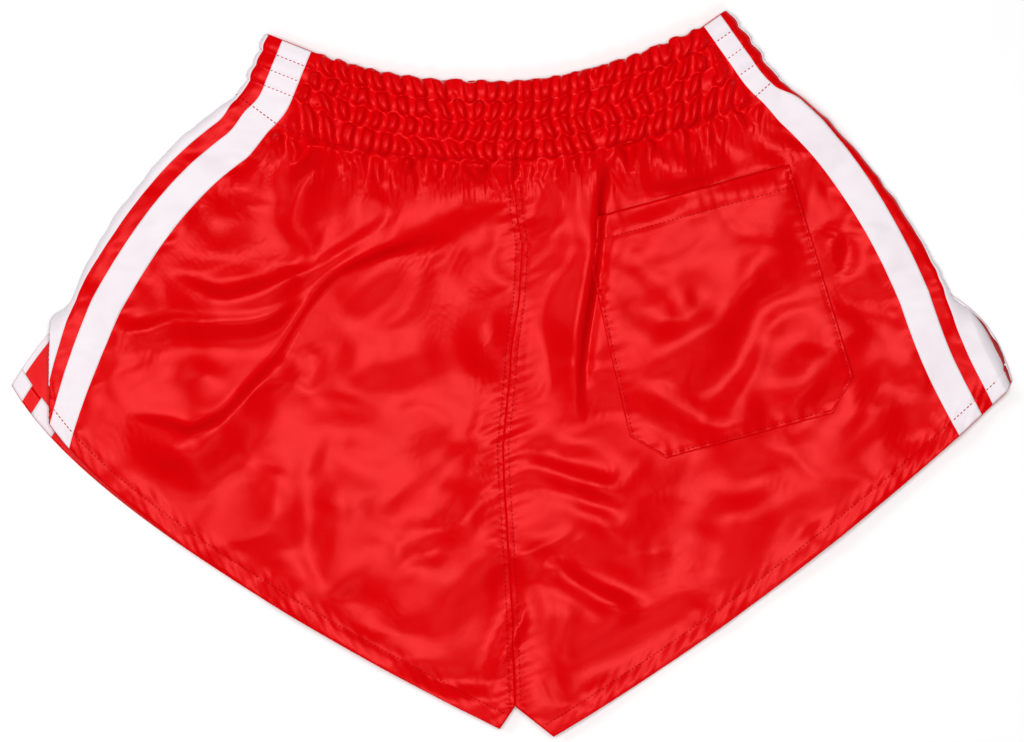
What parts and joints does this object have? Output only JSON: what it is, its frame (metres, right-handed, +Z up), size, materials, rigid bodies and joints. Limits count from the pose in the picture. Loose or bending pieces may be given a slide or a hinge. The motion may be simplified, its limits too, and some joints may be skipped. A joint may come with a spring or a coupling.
{
  "type": "boxing shorts",
  "caption": "Short satin boxing shorts lying flat, back side up: gathered elastic waistband, flared legs with side slits, white side stripes and a patch pocket.",
  "frame": {"origin": "under the middle of the shorts, on the surface that they lie on", "axes": "+X across the hips towards the side with the pocket, +Y up the body towards the waistband, +Z up from the surface, out of the back of the shorts"},
  "size_m": [0.662, 0.48, 0.0137],
  "materials": {
    "satin": "satin weave, broad soft highlights",
    "white_tape": "plain weave, slightly glossy",
    "elastic": "woven elastic, matt",
    "thread": "spun sewing thread"
  },
  "bodies": {
    "root": {"back_left_panel": "satin", "back_right_panel": "satin", "front_left_panel": "satin", "front_right_panel": "satin", "back_pocket": "satin", "back_left_stripe": "white_tape", "back_right_stripe": "white_tape", "front_left_stripe": "white_tape", "front_right_stripe": "white_tape", "back_left_edge_tape": "white_tape", "back_right_edge_tape": "white_tape", "front_left_edge_tape": "white_tape", "front_right_edge_tape": "white_tape", "waist_elastic_1": "elastic", "waist_elastic_2": "elastic", "waist_elastic_3": "elastic", "waist_elastic_4": "elastic", "waist_stitch_1": "thread", "waist_stitch_2": "thread", "waist_stitch_3": "thread", "waist_stitch_4": "thread", "back_left_hem_stitch": "thread", "back_right_hem_stitch": "thread", "centre_seam_stitch_left": "thread", "centre_seam_stitch_right": "thread", "back_pocket_stitch": "thread"}
  },
  "joints": []
}
